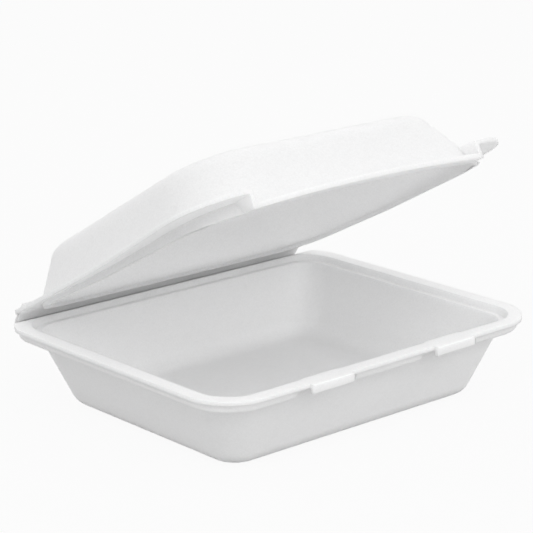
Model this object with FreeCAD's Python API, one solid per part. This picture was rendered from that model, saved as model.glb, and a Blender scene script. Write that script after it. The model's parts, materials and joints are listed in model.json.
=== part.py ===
import FreeCAD, Part
import math
import os

os.makedirs("parts", exist_ok=True)

V = FreeCAD.Vector

# Foam clamshell container, lid held open.
# Z is up, the container stands on Z = 0 with its middle over the origin.
# The hinge crease runs along X at the back (+Y), the latch tabs face the front (-Y).

# Overall sizes of the tray.
tray_width = 235.0
tray_depth = 194.0
tray_height = 46.5
wall = 2.6
flange_thick = 2.4

# Rim of the tray.
rim_corner = 28.0
rim_back_corner = 23.0
flange_flat = 8.0
ledge_drop = 3.6
ledge_inset = 9.6
mouth_inset = 12.6
bead_inset = 2.6
bead_height = 5.2
bead_round = 2.3

# Walls and underside of the tray.
foot_inset_side = 27.0
foot_inset_end = 25.0
foot_corner = 19.0
foot_round = 11.0
wall_top_inset = 10.0
floor_level = 3.0
floor_round = 14.0

# Two latch tabs on the front rim.
tab_spacing = 90.0
tab_width = 28.5
tab_reach = 2.8
tab_inner = 9.4
tab_lip_height = 5.2
tab_lip_thick = 2.4
bead_gap = 6.5

# Hinge crease.
hinge_half = 105.0
crease_drop = 4.4
crease_radius = 1.2
crease_gap = 0.35
crease_out = 1.0

# Lid, all heights measured from the plane that lies on the rim.
lid_gap = 0.35
lid_rib_drop = 2.2
lid_rib_side = 13.0
lid_rib_inset = 10.3
lid_back_height = 27.5
lid_front_height = 38.5
lid_front_out = 4.0
lid_corner = 40.0
lid_back_corner = 29.0
lid_top_round = 11.0
lid_side_lean = 18.0
lid_back_lean = 9.5
lid_front_lean = 19.0
lid_flange_side = 1.0
lid_flange_side_back = 11.5
lid_flange_ahead = 9.5
lid_flange_corner = 30.0
lid_flange_heel = 6.0
lid_flange_back = 0.4
lid_flange_front = 8.0
lift_start = 0.0
lift_crest = -60.0
lift_span = 80.0
lift_ramp = 2.6
lip_thick = 3.2
lip_depth = 20.0
arch_rise = 2.4

# The lid stands open by this angle in the rest pose.
open_angle = 27.0

half_w = tray_width / 2.0
half_d = tray_depth / 2.0
rim_top = tray_height
hinge_y = half_d + crease_out
hinge_z = rim_top - crease_drop
lid_plane = rim_top + lid_gap


def rounded_plate(hx, y0, y1, front_radius, back_radius, z0, z1):
    """Flat plate with rounded upright corners."""
    plate = Part.makeBox(2 * hx, y1 - y0, z1 - z0, V(-hx, y0, z0))
    upright = [e for e in plate.Edges if abs(e.Vertexes[0].Z - e.Vertexes[-1].Z) > 0.5 * (z1 - z0)]
    front = [e for e in upright if e.CenterOfMass.y < 0.5 * (y0 + y1)]
    plate = plate.makeFillet(front_radius, front)
    upright = [e for e in plate.Edges if e.CenterOfMass.y > y1 - 0.01 and abs(e.CenterOfMass.x) > hx - 0.01]
    return plate.makeFillet(back_radius, upright)


def tapered_plate(hx_front, hx_back, y0, y1, front_radius, back_radius, z0, z1):
    """Flat plate that widens to the front, with rounded upright corners."""
    points = [V(-hx_back, y1, z0), V(-hx_front, y0, z0), V(hx_front, y0, z0), V(hx_back, y1, z0)]
    plate = Part.Face(Part.makePolygon(points + [points[0]])).extrude(V(0, 0, z1 - z0))
    middle = 0.5 * (y0 + y1)
    for radius, sign in ((front_radius, -1), (back_radius, 1)):
        upright = [e for e in plate.Edges if abs(e.Vertexes[0].Z - e.Vertexes[-1].Z) > 0.5 * (z1 - z0)]
        corners = [e for e in upright if sign * (e.CenterOfMass.y - middle) > 0.4 * (y1 - y0)]
        plate = plate.makeFillet(radius, corners)
    return plate


def plane_side(point, normal, reach=900.0):
    """Large block that fills the outer side of a plane."""
    block = Part.makeBox(reach, reach, reach, V(-reach / 2, -reach / 2, 0))
    turn = FreeCAD.Rotation(V(0, 0, 1), normal)
    block.Placement = FreeCAD.Placement(point, turn)
    return block


def leaning_box(hx, y0, y1, z0, z1, lean_side, lean_front, lean_back, top_back, top_front, inset=0.0):
    """Box whose walls lean and whose top (or foot) may slope; all its faces are flat.

    The walls pass through the outline hx, y0, y1 at z0; lean is the inward travel from z0 to z1.
    """
    rise = z1 - z0
    low = min(z0, z1) - 20.0
    high = max(z0, z1) + 20.0
    solid = Part.makeBox(2 * hx + 200, y1 - y0 + 200, high - low, V(-hx - 100, y0 - 100, low))
    up = 1.0 if rise > 0 else -1.0
    run = abs(rise)

    def wall_block(px, py, outward, lean):
        normal = V(outward[0] * run, outward[1] * run, up * lean)
        normal.normalize()
        point = V(px, py, z0) - normal * inset
        return plane_side(point, normal)

    solid = solid.cut(wall_block(hx, 0, (1, 0), lean_side))
    solid = solid.cut(wall_block(-hx, 0, (-1, 0), lean_side))
    solid = solid.cut(wall_block(0, y0, (0, -1), lean_front))
    solid = solid.cut(wall_block(0, y1, (0, 1), lean_back))
    slope = V(0, (top_front - top_back) * up, up * (y1 - y0))
    slope.normalize()
    point = V(0, y1, top_back) - slope * inset
    solid = solid.cut(plane_side(point, slope))
    return solid


def trim_z(solid, z, keep_above):
    """Cut a solid level at a height."""
    if keep_above:
        return solid.cut(plane_side(V(0, 0, z), V(0, 0, -1)))
    return solid.cut(plane_side(V(0, 0, z), V(0, 0, 1)))


def is_corner(edge, solid):
    """True for an edge at the extreme of the solid both along X and along Y at its height."""
    box = solid.BoundBox
    mid = edge.CenterOfMass
    return abs(mid.x) > 0.35 * box.XLength and (mid.y > box.Center.y + 0.35 * box.YLength
                                                or mid.y < box.Center.y - 0.35 * box.YLength)


def round_walls(solid, front_corner, back_corner, cap, cap_at_top):
    """Round the four corner edges of a leaning box, then the edge of its cap."""
    span = 0.4 * solid.BoundBox.ZLength
    for radius, sign in ((front_corner, -1), (back_corner, 1)):
        upright = [e for e in solid.Edges if abs(e.Vertexes[0].Z - e.Vertexes[-1].Z) > span]
        upright = [e for e in upright if sign * e.CenterOfMass.y > 0 and e.Curve.TypeId == "Part::GeomLine"]
        corners = [e for e in upright if is_corner(e, solid)]
        solid = solid.makeFillet(radius, corners)
    faces = [f for f in solid.Faces if f.ShapeType == "Face" and f.Area > 5000]
    faces.sort(key=lambda f: f.CenterOfMass.z)
    face = faces[-1] if cap_at_top else faces[0]
    return solid.makeFillet(cap, face.Edges)


def tray_body():
    """Outer bulk of the tray below its rim."""
    top_z = rim_top - flange_thick
    side = foot_inset_side - wall_top_inset
    end = foot_inset_end - wall_top_inset
    bulk = leaning_box(half_w - wall_top_inset, -half_d + wall_top_inset, half_d - wall_top_inset,
                       top_z, 0.0, side, end, end, 0.0, 0.0)
    bulk = trim_z(bulk, top_z, False)
    return round_walls(bulk, foot_corner, foot_corner, foot_round, False)


def tray_hollow():
    """Space inside the tray, from its floor to above the mouth."""
    top_z = rim_top - ledge_drop
    share = (top_z - floor_level) / (rim_top - flange_thick)
    side = (foot_inset_side - wall_top_inset) * share
    end = (foot_inset_end - wall_top_inset) * share
    bulk = leaning_box(half_w - mouth_inset, -half_d + mouth_inset, half_d - mouth_inset,
                       top_z, floor_level, side, end, end, floor_level, floor_level)
    bulk = trim_z(bulk, rim_top + 5.0, False)
    corner = foot_corner - 0.6
    return round_walls(bulk, corner, corner, floor_round, False)


def rim_ledge():
    """Stepped seat around the mouth that takes the rib of the lid."""
    low = rounded_outline(half_w - ledge_inset, half_d - ledge_inset, rim_corner - ledge_inset, rim_top - ledge_drop)
    high = rounded_outline(half_w - flange_flat, half_d - flange_flat, rim_corner - flange_flat, rim_top + 0.02)
    return Part.makeLoft([low, high], True, True)


def rounded_outline(hx, hy, r, z):
    """Closed wire: rectangle with four arcs."""
    k = r * (1.0 - math.sqrt(0.5))
    edges = []
    for sx, sy, a, b in ((1, 1, 0, 1), (-1, 1, 1, 0), (-1, -1, 0, 1), (1, -1, 1, 0)):
        mid = V(sx * (hx - k), sy * (hy - k), z)
        along = V(sx * (hx - r), sy * hy, z)
        beside = V(sx * hx, sy * (hy - r), z)
        first, last = (beside, along) if a == 0 else (along, beside)
        edges.append(Part.Arc(first, mid, last).toShape())
    ring = []
    for i, arc in enumerate(edges):
        ring.append(arc)
        end = arc.valueAt(arc.LastParameter)
        start = edges[(i + 1) % 4].valueAt(edges[(i + 1) % 4].FirstParameter)
        ring.append(Part.makeLine(end, start))
    return Part.Wire(ring)


def tray_flange():
    """Flat rim flange with its rounded bead underneath."""
    flange = rounded_plate(half_w, -half_d, half_d, rim_corner, rim_back_corner,
                           rim_top - flange_thick, rim_top)
    inset = bead_inset
    low = rim_top - flange_thick - bead_height
    bead = rounded_plate(half_w - inset, -half_d + inset, half_d - inset, rim_corner - inset,
                         rim_back_corner - inset, low, rim_top - flange_thick)
    under = [f for f in bead.Faces if f.Area > 5000 and f.CenterOfMass.z < low + 0.01][0]
    bead = bead.makeFillet(bead_round, under.Edges)
    for side in (-1, 1):
        mid = side * tab_spacing / 2.0
        gap = tab_width / 2.0 + bead_gap
        bead = bead.cut(Part.makeBox(2 * gap, 12, bead_height + 2, V(mid - gap, -half_d - 4, low - 1)))
    return flange.fuse(bead)


def latch_tab(side):
    """One latch tab: a thicker piece of the flange with a hanging lip."""
    mid = side * tab_spacing / 2.0
    front = -half_d - tab_reach
    plate = Part.makeBox(tab_width, tab_reach + tab_inner, flange_thick,
                         V(mid - tab_width / 2, front, rim_top - flange_thick))
    corner = [e for e in plate.Edges if abs(e.Vertexes[0].Z - e.Vertexes[-1].Z) > 1 and e.CenterOfMass.y > front + 1]
    plate = plate.makeFillet(3.0, corner)
    lip = Part.makeBox(tab_width, tab_lip_thick, tab_lip_height,
                       V(mid - tab_width / 2, front, rim_top - tab_lip_height))
    tab = plate.fuse(lip).removeSplitter()
    edge = [e for e in tab.Edges if abs(e.CenterOfMass.y - front) < 0.01 and abs(e.CenterOfMass.x - mid) < 1]
    return tab.makeFillet(0.7, edge)


def back_slope():
    """Wedge that lets the back flange fall to the crease."""
    y0 = half_d - flange_flat
    points = [V(0, y0, rim_top), V(0, half_d + 3, rim_top - crease_drop * (flange_flat + 3) / flange_flat),
              V(0, half_d + 3, rim_top + 3), V(0, y0, rim_top + 3)]
    face = Part.Face(Part.makePolygon(points + [points[0]]))
    wedge = face.extrude(V(2 * hinge_half + 80, 0, 0))
    wedge.translate(V(-hinge_half - 40, 0, 0))
    return wedge


def crease_bar():
    """Back edge of the tray that carries the crease along the hinge."""
    y0 = half_d - flange_flat
    low = rim_top - crease_drop - 2.0
    points = [V(0, y0, rim_top), V(0, half_d, rim_top - crease_drop), V(0, half_d, low), V(0, y0, low)]
    face = Part.Face(Part.makePolygon(points + [points[0]]))
    bar = face.extrude(V(2 * hinge_half, 0, 0))
    bar.translate(V(-hinge_half, 0, 0))
    roll = Part.makeCylinder(crease_radius, 2 * hinge_half, V(-hinge_half, hinge_y, hinge_z), V(1, 0, 0))
    return bar.fuse(roll)


def build_tray():
    """Whole tray with its rim, latch tabs and crease."""
    tray = tray_body().fuse(tray_flange())
    tray = tray.cut(back_slope())
    tray = tray.fuse(crease_bar())
    tray = tray.cut(rim_ledge())
    for side in (-1, 1):
        tray = tray.fuse(latch_tab(side))
    tray = tray.cut(tray_hollow())
    return tray.removeSplitter()


def lid_box(inset):
    """Bulk of the closed lid, or of the space inside it when inset is the wall."""
    hx = half_w - lid_rib_side
    y0 = -half_d - lid_front_out
    y1 = half_d - lid_rib_inset
    bulk = leaning_box(hx, y0, y1, lid_plane, lid_plane + lid_front_height,
                       lid_side_lean, lid_front_lean, lid_back_lean * lid_front_height / lid_back_height,
                       lid_plane + lid_back_height, lid_plane + lid_front_height, inset)
    bulk = trim_z(bulk, lid_plane, True)
    return round_walls(bulk, lid_corner - inset, lid_back_corner - inset, lid_top_round - inset, True)


def lid_rib(inset):
    """Rib under the lid's sides and back that drops inside the tray's rim and fades out to the front."""
    hx = half_w - lid_rib_side - inset
    low = lid_plane - lid_rib_drop
    if inset > 0:
        low -= 3.0
    y0 = -half_d - lid_front_out + inset
    rib = rounded_plate(hx, y0, half_d - lid_rib_inset - inset, lid_corner - inset, lid_back_corner - inset,
                        low, lid_plane)
    if inset > 0:
        return rib
    points = [V(0, 0, low), V(0, -half_d + lid_rib_inset + 3, lid_plane), V(0, y0 - 5, lid_plane),
              V(0, y0 - 5, low - 5), V(0, 0, low - 5)]
    wedge = Part.Face(Part.makePolygon(points + [points[0]])).extrude(V(2 * half_w, 0, 0))
    wedge.translate(V(-half_w, 0, 0))
    return rib.cut(wedge)


def flange_curve(front, lift):
    """Side profile of the lid's flange: level from the hinge, then swept up to the finger lifts."""
    low = lid_plane + lid_flange_back + lift
    top = lid_plane + lid_flange_front + lift
    curve = Part.BSplineCurve()
    curve.interpolate([V(0, half_d, low), V(0, 0.5 * half_d, low + 0.2), V(0, lift_start, low + 1.2),
                       V(0, lift_crest, top - 3.0), V(0, front, top)])
    return curve


def lid_flange():
    """Rim flange of the lid, which climbs from the crease to the finger lifts at the front."""
    front = -half_d - lid_flange_ahead
    outline = tapered_plate(half_w - lid_flange_side, half_w - lid_flange_side_back, front, half_d,
                            lid_flange_corner, lid_flange_heel, lid_plane - 5, lid_plane + 40)
    low = flange_curve(front, 0.0)
    high = flange_curve(front, flange_thick)
    ends = [Part.makeLine(low.StartPoint, high.StartPoint), Part.makeLine(low.EndPoint, high.EndPoint)]
    face = Part.Face(Part.Wire(Part.__sortEdges__([low.toShape(), high.toShape()] + ends)))
    slab = face.extrude(V(2 * half_w + 40, 0, 0))
    slab.translate(V(-half_w - 20, 0, 0))
    ring = outline.common(slab)
    return ring.cut(Part.makeBox(2 * lift_span, lip_depth + 5, 60, V(-lift_span, front - 5, lid_plane - 10)))


def arched_bar(half, y0, y1, z0, z1, rise):
    """Bar along X, level at its ends and arched upwards by rise in the middle."""
    low = Part.Arc(V(-half, y0, z0), V(0, y0, z0 + rise), V(half, y0, z0)).toShape()
    high = Part.Arc(V(half, y0, z1), V(0, y0, z1 + rise), V(-half, y0, z1)).toShape()
    ends = [Part.makeLine(V(half, y0, z0), V(half, y0, z1)), Part.makeLine(V(-half, y0, z1), V(-half, y0, z0))]
    return Part.Face(Part.Wire([low, ends[0], high, ends[1]])).extrude(V(0, y1 - y0, 0))


def front_lip():
    """Low middle part of the lid's front edge, with the two steps up to the finger lifts."""
    y0 = -half_d - lid_flange_ahead
    y1 = y0 + lip_depth
    lip = arched_bar(lift_span, y0, y1, lid_plane, lid_plane + lip_thick, arch_rise)
    for side in (-1, 1):
        x0 = side * lift_span - (lift_ramp if side < 0 else 0)
        step = Part.makeBox(lift_ramp, y1 - y0, lid_flange_front + flange_thick, V(x0, y0, lid_plane))
        lip = lip.fuse(step)
    return lip


def lid_arch():
    """Clearance under the arched middle of the front edge, where the rib is left out."""
    y0 = -half_d - lid_flange_ahead - 5
    return arched_bar(lift_span - 6, y0, -half_d + 40, lid_plane - lid_rib_drop - 5, lid_plane, arch_rise)


def lid_back_edge():
    """Back flange of the lid, falling to the crease beside the tray's back rim."""
    y0 = half_d - flange_flat - 4.0
    run = half_d - y0
    drop = crease_drop * run / flange_flat
    start = lid_plane + crease_drop * 4.0 / flange_flat
    points = [V(0, y0, start), V(0, half_d, start - drop),
              V(0, half_d, start - drop + flange_thick), V(0, y0, start + flange_thick)]
    face = Part.Face(Part.makePolygon(points + [points[0]]))
    bar = face.extrude(V(2 * hinge_half, 0, 0))
    bar.translate(V(-hinge_half, 0, 0))
    room = Part.makeCylinder(crease_radius + crease_gap, 2 * hinge_half + 4,
                             V(-hinge_half - 2, hinge_y, hinge_z), V(1, 0, 0))
    return bar.cut(room)


def build_lid():
    """Whole lid in its closed place."""
    lid = lid_box(0.0).fuse(lid_rib(0.0))
    lid = lid.fuse(lid_flange())
    lid = lid.fuse(front_lip())
    lid = lid.fuse(lid_back_edge())
    lid = lid.cut(lid_box(wall).fuse(lid_rib(wall)))
    return lid.cut(lid_arch()).removeSplitter()


def swing(shape, angle):
    """Turn a shape about the crease; positive opens the lid."""
    turned = shape.copy()
    turned.rotate(V(0, hinge_y, hinge_z), V(-1, 0, 0), angle)
    return turned


tray = build_tray()
lid = swing(build_lid(), open_angle)

tray.exportStep("parts/base_tray.step")
lid.exportStep("parts/hinged_lid.step")

for name, shape in (("base_tray", tray), ("hinged_lid", lid)):
    box = shape.BoundBox
    print(name, "valid", shape.isValid(), "solids", len(shape.Solids), "volume", round(shape.Volume),
          "box", [round(v, 1) for v in (box.XMin, box.XMax, box.YMin, box.YMax, box.ZMin, box.ZMax)])
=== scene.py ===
"""Looks of the foam clamshell container: white moulded foam, soft studio light, seamless floor."""

import json
import logging
import math
from dataclasses import dataclass, replace
from enum import Enum

import bmesh
import bpy
from mathutils import Matrix, Vector

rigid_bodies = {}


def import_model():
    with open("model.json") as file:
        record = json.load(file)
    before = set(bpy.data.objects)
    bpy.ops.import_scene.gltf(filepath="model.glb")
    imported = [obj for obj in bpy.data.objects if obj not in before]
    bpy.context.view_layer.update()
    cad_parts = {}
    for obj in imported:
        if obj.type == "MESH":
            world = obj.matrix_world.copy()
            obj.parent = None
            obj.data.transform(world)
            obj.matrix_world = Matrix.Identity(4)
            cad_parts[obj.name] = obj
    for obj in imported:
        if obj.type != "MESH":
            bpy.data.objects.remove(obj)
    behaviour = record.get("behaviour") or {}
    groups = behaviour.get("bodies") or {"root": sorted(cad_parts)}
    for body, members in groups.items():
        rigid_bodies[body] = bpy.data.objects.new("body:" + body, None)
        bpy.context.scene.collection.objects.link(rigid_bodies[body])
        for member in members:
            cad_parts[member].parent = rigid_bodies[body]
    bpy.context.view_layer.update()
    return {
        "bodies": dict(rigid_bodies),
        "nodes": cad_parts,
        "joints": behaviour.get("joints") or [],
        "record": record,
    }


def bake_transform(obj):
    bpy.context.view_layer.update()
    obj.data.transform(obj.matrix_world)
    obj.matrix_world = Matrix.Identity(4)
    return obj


logging.basicConfig(level=logging.INFO, format="%(name)s %(message)s")
log = logging.getLogger("clamshell")

MM = 0.001
WHITE = (1.0, 1.0, 1.0, 1.0)


class Body(str, Enum):
    """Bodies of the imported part."""

    TRAY = "tray"
    LID = "lid"


class Node(str, Enum):
    """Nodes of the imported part."""

    TRAY = "base_tray"
    LID = "hinged_lid"


class Slot(str, Enum):
    """Material slots of the record."""

    LID = "foam_lid"


@dataclass(frozen=True)
class FoamFinish:
    """White closed-cell foam with a pressed skin.

    Args:
        name: name of the material.
        tone: linear base colour of the skin.
        cell_mm: width of one foam cell.
        cell_shade: share by which the borders of the cells are darker.
        cloud_mm: width of the soft patches where the foam is denser.
        cloud_shade: share by which the patches are darker.
        relief_mm: depth of the cell relief.
        relief_strength: strength of that relief.
        roughness: mean roughness of the skin.
        roughness_swing: how far roughness changes from cell to cell.
        soft_edge_mm: radius over which edges catch the light.
        depth_weight: share of the light that wanders through the foam.
        depth_m: how far it wanders.
    """

    name: str
    tone: tuple[float, float, float]
    cell_mm: float
    cell_shade: float
    cloud_mm: float
    cloud_shade: float
    relief_mm: float
    relief_strength: float
    roughness: float
    roughness_swing: float
    soft_edge_mm: float
    depth_weight: float
    depth_m: float


@dataclass(frozen=True)
class CameraSetup:
    """Camera of the photograph, placed round the container.

    Args:
        azimuth: degrees round the container, 0 is the front.
        elevation: degrees above the floor.
        roll: degrees about the line of sight.
        distance: metres from the target.
        focal_px: focal length in pixels of the frame.
        frame_px: width of the frame in pixels.
        target: point that the camera looks at, in metres.
        sensor_mm: width of the sensor.
        sight: metres that the camera sees.
    """

    azimuth: float
    elevation: float
    roll: float
    distance: float
    focal_px: float
    frame_px: float
    target: tuple[float, float, float]
    sensor_mm: float = 36.0
    sight: float = 60.0


@dataclass(frozen=True)
class Lamp:
    """Soft square lamp aimed at the container.

    Args:
        name: name of the lamp.
        azimuth: degrees round the container, 0 is the front.
        elevation: degrees above the floor.
        size: side of the lamp in metres.
        power: watts.
        distance: metres from the container.
    """

    name: str
    azimuth: float
    elevation: float
    size: float
    power: float
    distance: float = 1.6


TRAY_FOAM = FoamFinish(
    name="tray_foam", tone=(0.97, 0.97, 0.972),
    cell_mm=0.85, cell_shade=0.05, cloud_mm=5.0, cloud_shade=0.02,
    relief_mm=0.06, relief_strength=0.25, roughness=0.46, roughness_swing=0.12,
    soft_edge_mm=0.8, depth_weight=1.0, depth_m=0.004)
LID_FOAM = FoamFinish(
    name="lid_foam", tone=(0.955, 0.955, 0.958),
    cell_mm=0.95, cell_shade=0.06, cloud_mm=6.0, cloud_shade=0.025,
    relief_mm=0.06, relief_strength=0.28, roughness=0.44, roughness_swing=0.12,
    soft_edge_mm=0.8, depth_weight=1.0, depth_m=0.012)
# The fold is too thin for light to wander in or for a wide soft edge: both would turn it dark.
FOLD_FOAM = replace(LID_FOAM, name="fold_foam", soft_edge_mm=0.05, depth_weight=0.0, depth_m=0.001)

CAMERA = CameraSetup(azimuth=-41.2, elevation=16.0, roll=-0.4, distance=1.165,
                     focal_px=2100.0, frame_px=533.0, target=(-0.002, 0.0015, 0.0765))
LAMPS = (
    Lamp("left", azimuth=-58.0, elevation=42.0, size=0.5, power=2.8),
    Lamp("front", azimuth=-12.0, elevation=33.0, size=0.7, power=3.4),
    Lamp("right", azimuth=40.0, elevation=42.0, size=0.5, power=1.6),
)


class Sock:
    """One shader socket with arithmetic, so that shader maths reads as formulas."""

    def __init__(self, tree: "NodeTree", socket: bpy.types.NodeSocket | None) -> None:
        """Wraps socket of tree."""
        self.tree = tree
        self.socket = socket

    def _math(self, kind: str, other: "Sock | float", swap: bool = False) -> "Sock":
        """Adds one Math node.

        Args:
            kind: operation of the Math node.
            other: the other operand.
            swap: True puts the other operand first.

        Returns:
            The result's socket.
        """
        first, second = (other, self) if swap else (self, other)
        return self.tree.add("ShaderNodeMath", {"operation": kind}, {0: first, 1: second})

    def __add__(self, other: "Sock | float") -> "Sock":
        """Sum."""
        return self._math("ADD", other)

    def __radd__(self, other: float) -> "Sock":
        """Sum with the number first."""
        return self._math("ADD", other, swap=True)

    def __sub__(self, other: "Sock | float") -> "Sock":
        """Difference."""
        return self._math("SUBTRACT", other)

    def __rsub__(self, other: float) -> "Sock":
        """Difference with the number first."""
        return self._math("SUBTRACT", other, swap=True)

    def __mul__(self, other: "Sock | float") -> "Sock":
        """Product."""
        return self._math("MULTIPLY", other)

    def cos(self) -> "Sock":
        """Cosine."""
        return self.tree.add("ShaderNodeMath", {"operation": "COSINE"}, {0: self})

    def sin(self) -> "Sock":
        """Sine."""
        return self.tree.add("ShaderNodeMath", {"operation": "SINE"}, {0: self})


class NodeTree:
    """Node tree of one material, world or mesh."""

    def __init__(self, tree: bpy.types.NodeTree) -> None:
        """Empties tree and keeps it."""
        self.tree = tree
        tree.nodes.clear()

    def add(self, kind: str, settings: dict | None = None, inputs: dict | None = None,
            out: int | str = 0) -> Sock:
        """Adds one node.

        Args:
            kind: type name of the node.
            settings: properties of the node, set first.
            inputs: values or sockets by input name or number.
            out: output that is wanted.

        Returns:
            That output.
        """
        node = self.tree.nodes.new(kind)
        for key, value in (settings or {}).items():
            setattr(node, key, value)
        for key, value in (inputs or {}).items():
            if isinstance(value, Sock):
                self.tree.links.new(value.socket, node.inputs[key])
            else:
                node.inputs[key].default_value = value
        socket = node.outputs[out] if len(node.outputs) else None
        return Sock(self, socket)

    def looked_at(self) -> Sock:
        """Tells rays that show a surface from rays that only light another one.

        Returns:
            1 for rays of the camera, of a reflection or through something, else 0.
        """
        seen = self.add("ShaderNodeLightPath", out="Is Camera Ray")
        gloss = self.add("ShaderNodeLightPath", out="Is Glossy Ray")
        through = self.add("ShaderNodeLightPath", out="Is Transmission Ray")
        return self.add("ShaderNodeMath", {"operation": "MINIMUM"}, {0: seen + gloss + through, 1: 1.0})


@dataclass(frozen=True)
class FoamMaterial:
    """Builds the procedural foam material.

    Args:
        finish: the foam's own values.
        bend_scale: waves of the cells' irregularity for each cell.
        bend: how far those waves move the cells' borders.
        cloud_relief: height of the patches against the cells.
        refraction: refractive index of the skin.
    """

    finish: FoamFinish
    bend_scale: float = 0.4
    bend: float = 0.0004
    cloud_relief: float = 0.8
    refraction: float = 1.4

    def cells(self, tree: NodeTree, place: Sock) -> tuple[Sock, Sock]:
        """Makes the foam cells.

        Args:
            tree: tree of the material.
            place: position on the object.

        Returns:
            Distance from the middle of each cell, and a random number for each cell.
        """
        scale = 1.0 / (self.finish.cell_mm * MM)
        bend = tree.add("ShaderNodeTexNoise", {}, {
            "Vector": place, "Scale": self.bend_scale * scale, "Detail": 1.0}, "Color")
        moved = tree.add("ShaderNodeMix", {"data_type": "VECTOR"}, {0: self.bend, 4: place, 5: bend}, 1)
        where = {"Vector": moved, "Scale": scale}
        depth = tree.add("ShaderNodeTexVoronoi", {"feature": "F1"}, where, "Distance")
        single = tree.add("ShaderNodeTexVoronoi", {"feature": "F1"}, where, "Color")
        shade = tree.add("ShaderNodeSeparateColor", {}, {0: single}, 0)
        return depth, shade

    def build(self) -> bpy.types.Material:
        """Makes the material on Object coordinates.

        Returns:
            The material.
        """
        f = self.finish
        mat = bpy.data.materials.new(f.name)
        mat.use_nodes = True
        tree = NodeTree(mat.node_tree)
        place = tree.add("ShaderNodeTexCoord", out="Object")
        depth, single = self.cells(tree, place)
        cloud = tree.add("ShaderNodeTexNoise", {}, {
            "Vector": place, "Scale": 1.0 / (f.cloud_mm * MM), "Detail": 3.0}, "Fac")
        shade = 1.0 - (depth * f.cell_shade + (1.0 - single) * (0.5 * f.cell_shade) + cloud * f.cloud_shade)
        tint = tree.add("ShaderNodeVectorMath", {"operation": "SCALE"}, {0: f.tone, "Scale": shade})
        rough = f.roughness + (single - 0.5) * f.roughness_swing + (cloud - 0.5) * f.roughness_swing
        edge = tree.add("ShaderNodeBevel", {"samples": 4}, {"Radius": f.soft_edge_mm * MM})
        bump = tree.add("ShaderNodeBump", {}, {
            "Strength": f.relief_strength, "Distance": f.relief_mm * MM,
            "Height": (1.0 - depth) + cloud * self.cloud_relief, "Normal": edge})
        skin = tree.add("ShaderNodeBsdfPrincipled", {}, {
            "Base Color": tint, "Roughness": rough, "Normal": bump, "IOR": self.refraction,
            "Subsurface Weight": f.depth_weight, "Subsurface Scale": f.depth_m,
            "Subsurface Radius": (1.0, 1.0, 1.0)})
        tree.add("ShaderNodeOutputMaterial", {}, {"Surface": skin})
        log.info("material %s", f.name)
        return mat


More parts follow.
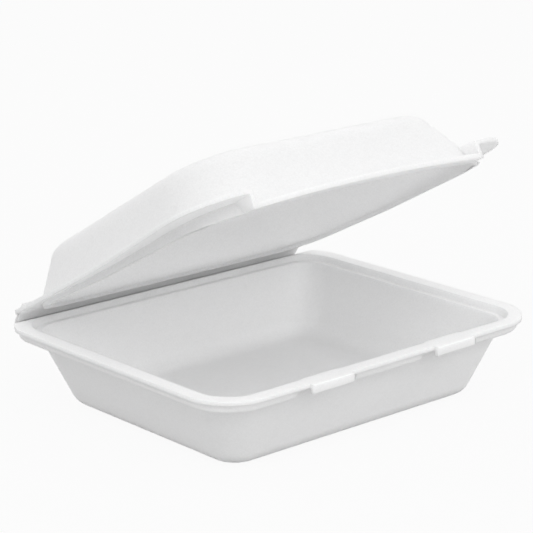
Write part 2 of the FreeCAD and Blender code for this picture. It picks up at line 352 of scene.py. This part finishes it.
@dataclass(frozen=True)
class HingeFold:
    """Thin fold of foam behind the crease that joins the tray to the lid.

    Args:
        axis_y_mm: place of the crease along Y.
        axis_z_mm: height of the crease.
        half_length_mm: half its length along X.
        radius_mm: radius of the fold round the crease.
        thick_mm: thickness of the fold.
        tray_angle: where it starts on the tray, degrees from +Y towards +Z.
        lid_angle: where it ends on the lid at rest.
        steps: rows of faces round the fold.
        columns: corners of the faces along the crease.
    """

    axis_y_mm: float = 98.0
    axis_z_mm: float = 42.1
    half_length_mm: float = 104.0
    radius_mm: float = 2.2
    thick_mm: float = 0.3
    tray_angle: float = -124.0
    lid_angle: float = 95.0
    steps: int = 48
    columns: int = 60

    def sizes(self, foam: bpy.types.Material) -> dict[str, float | bpy.types.Material]:
        """Gives the inputs of the fold's geometry tree.

        Args:
            foam: material of the fold.

        Returns:
            Value of each input by its name, in metres and radians.
        """
        return {"Length": 2 * self.half_length_mm * MM, "Radius": self.radius_mm * MM,
                "From": math.radians(self.tray_angle), "To": math.radians(self.lid_angle),
                "Material": foam}

    def tree(self, names: list[str]) -> bpy.types.NodeTree:
        """Makes the geometry tree that bends a grid into the fold.

        Args:
            names: names of the tree's inputs, Material among them.

        Returns:
            The tree.
        """
        group = bpy.data.node_groups.new("hinge_fold", "GeometryNodeTree")
        face = group.interface
        face.new_socket("Geometry", in_out="OUTPUT", socket_type="NodeSocketGeometry")
        for name in names:
            kind = "NodeSocketMaterial" if name == "Material" else "NodeSocketFloat"
            face.new_socket(name, in_out="INPUT", socket_type=kind)
        tree = NodeTree(group)
        given = {name: tree.add("NodeGroupInput", out=name) for name in names}
        grid = tree.add("GeometryNodeMeshGrid", {}, {
            "Size X": given["Length"], "Size Y": 1.0,
            "Vertices X": self.columns, "Vertices Y": self.steps + 1}, "Mesh")
        place = tree.add("GeometryNodeInputPosition")
        along = tree.add("ShaderNodeSeparateXYZ", {}, {0: place}, "X")
        across = tree.add("ShaderNodeSeparateXYZ", {}, {0: place}, "Y")
        angle = given["From"] + (across + 0.5) * (given["To"] - given["From"])
        bent = tree.add("ShaderNodeCombineXYZ", {}, {
            "X": along,
            "Y": self.axis_y_mm * MM + given["Radius"] * angle.cos(),
            "Z": self.axis_z_mm * MM + given["Radius"] * angle.sin()})
        moved = tree.add("GeometryNodeSetPosition", {}, {"Geometry": grid, "Position": bent})
        smooth = tree.add("GeometryNodeSetShadeSmooth", {}, {"Geometry": moved})
        real = tree.add("GeometryNodeRealizeInstances", {}, {"Geometry": smooth})
        foam = tree.add("GeometryNodeSetMaterial", {}, {"Geometry": real, "Material": given["Material"]})
        tree.add("NodeGroupOutput", {}, {"Geometry": foam})
        return group

    def build(self, foam: bpy.types.Material) -> bpy.types.Object:
        """Makes the fold, a plain closed mesh that bends between tray and lid.

        Args:
            foam: material of the fold.

        Returns:
            The fold's object.
        """
        obj = bpy.data.objects.new("hinge_fold", bpy.data.meshes.new("hinge_fold"))
        bpy.context.collection.objects.link(obj)
        sizes = self.sizes(foam)
        nodes = obj.modifiers.new("fold", "NODES")
        nodes.node_group = self.tree(list(sizes))
        for item in nodes.node_group.interface.items_tree:
            if item.in_out == "INPUT":
                nodes[item.identifier] = sizes[item.name]
        shell = obj.modifiers.new("shell", "SOLIDIFY")
        shell.thickness = self.thick_mm * MM
        shell.offset = 0.0
        ready = obj.evaluated_get(bpy.context.evaluated_depsgraph_get())
        mesh = bpy.data.meshes.new_from_object(ready)
        obj.modifiers.clear()
        face_outwards(mesh)
        obj.data = mesh
        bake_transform(obj)
        log.info("piece %s: %d faces", obj.name, len(mesh.polygons))
        return obj


@dataclass
class Container:
    """The moulded foam container: tray, lid and the fold that joins them.

    Args:
        frame: the loaded frame.
        fold: the fold behind the crease.
    """

    frame: dict
    fold: HingeFold

    def dress(self) -> None:
        """Gives every piece its foam and adds the fold."""
        foams = {Node.TRAY: FoamMaterial(TRAY_FOAM).build(), Node.LID: FoamMaterial(LID_FOAM).build()}
        for node, foam in foams.items():
            obj = self.frame["nodes"][node.value]
            obj.data.materials.clear()
            obj.data.materials.append(foam)
            log.info("piece %s: %d faces", node.value, len(obj.data.polygons))
        self.fold.build(FoamMaterial(FOLD_FOAM).build())


@dataclass(frozen=True)
class Studio:
    """Floor, surroundings, lamps and camera.

    Args:
        lamp_set: the soft lamps.
        setup: the camera.
        surround_strength: strength of the surroundings as light.
        floor_glow: how far the floor is plain white to the camera; the rest shows the shadow.
        floor_shade: linear grey of the floor where it shows the shadow.
        floor_size: side of the floor in metres.
        floor_level: height of the floor, just below the tray so that their faces never coincide.
    """

    lamp_set: tuple[Lamp, ...]
    setup: CameraSetup
    surround_strength: float = 0.87
    floor_glow: float = 0.93
    floor_shade: float = 0.56
    floor_size: float = 30.0
    floor_level: float = -0.0004

    def floor(self) -> None:
        """Pale plain floor: white to the camera, with a faint shadow under the container."""
        bpy.ops.mesh.primitive_plane_add(size=self.floor_size, location=(0, 0, self.floor_level))
        floor = bpy.context.object
        floor.name = "floor"
        mat = bpy.data.materials.new("floor_white")
        mat.use_nodes = True
        tree = NodeTree(mat.node_tree)
        matt = tree.add("ShaderNodeBsdfDiffuse", {}, {"Color": (self.floor_shade,) * 3 + (1.0,)})
        glow = tree.add("ShaderNodeEmission", {}, {"Color": WHITE, "Strength": 1.0})
        mix = tree.add("ShaderNodeMixShader", {}, {0: tree.looked_at() * self.floor_glow, 1: matt, 2: glow})
        tree.add("ShaderNodeOutputMaterial", {}, {"Surface": mix})
        floor.data.materials.append(mat)

    def world(self) -> None:
        """White surroundings: full white to the camera, softer as light."""
        world = bpy.data.worlds.new("surround")
        bpy.context.scene.world = world
        world.use_nodes = True
        tree = NodeTree(world.node_tree)
        strength = self.surround_strength + tree.looked_at() * (1.0 - self.surround_strength)
        back = tree.add("ShaderNodeBackground", {}, {"Color": WHITE, "Strength": strength})
        tree.add("ShaderNodeOutputWorld", {}, {"Surface": back})

    def lamps(self) -> None:
        """Places the soft lamps."""
        for lamp in self.lamp_set:
            data = bpy.data.lights.new(lamp.name, "AREA")
            data.size = lamp.size
            data.energy = lamp.power
            obj = bpy.data.objects.new(lamp.name, data)
            bpy.context.collection.objects.link(obj)
            away = direction(lamp.azimuth, lamp.elevation)
            obj.location = away * lamp.distance
            obj.rotation_euler = away.to_track_quat("Z", "Y").to_euler()

    def camera(self) -> None:
        """Places the camera at the photograph's viewing angle."""
        setup = self.setup
        data = bpy.data.cameras.new("camera")
        data.sensor_width = setup.sensor_mm
        data.lens = setup.focal_px / setup.frame_px * setup.sensor_mm
        data.clip_end = setup.sight
        obj = bpy.data.objects.new("camera", data)
        bpy.context.collection.objects.link(obj)
        away = direction(setup.azimuth, setup.elevation)
        obj.location = Vector(setup.target) + away * setup.distance
        aim = (-away).to_track_quat("-Z", "Y").to_matrix().to_4x4()
        obj.rotation_euler = (aim @ Matrix.Rotation(math.radians(setup.roll), 4, "Z")).to_euler()
        bpy.context.scene.camera = obj

    def build(self) -> None:
        """Builds the whole studio."""
        self.floor()
        self.world()
        self.lamps()
        self.camera()
        bpy.context.scene.view_settings.view_transform = "Standard"


def face_outwards(mesh: bpy.types.Mesh) -> None:
    """Turns the faces of a closed mesh outwards.

    Args:
        mesh: closed mesh.
    """
    work = bmesh.new()
    work.from_mesh(mesh)
    volume = work.calc_volume(signed=True)
    if volume < 0.0:
        bmesh.ops.reverse_faces(work, faces=work.faces)
        work.to_mesh(mesh)
    log.info("closed mesh of %.1f mm3", abs(volume) / MM ** 3)
    work.free()


def direction(azimuth: float, elevation: float) -> Vector:
    """Finds the direction of a place round the container.

    Args:
        azimuth: degrees, 0 is the front.
        elevation: degrees above the horizon.

    Returns:
        Unit vector from the container outwards.
    """
    a, e = math.radians(azimuth), math.radians(elevation)
    return Vector((math.sin(a) * math.cos(e), -math.cos(a) * math.cos(e), math.sin(e)))


def main() -> None:
    """Builds the scene."""
    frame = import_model()
    Container(frame, HingeFold()).dress()
    Studio(LAMPS, CAMERA).build()


if __name__ == "__main__":
    main()
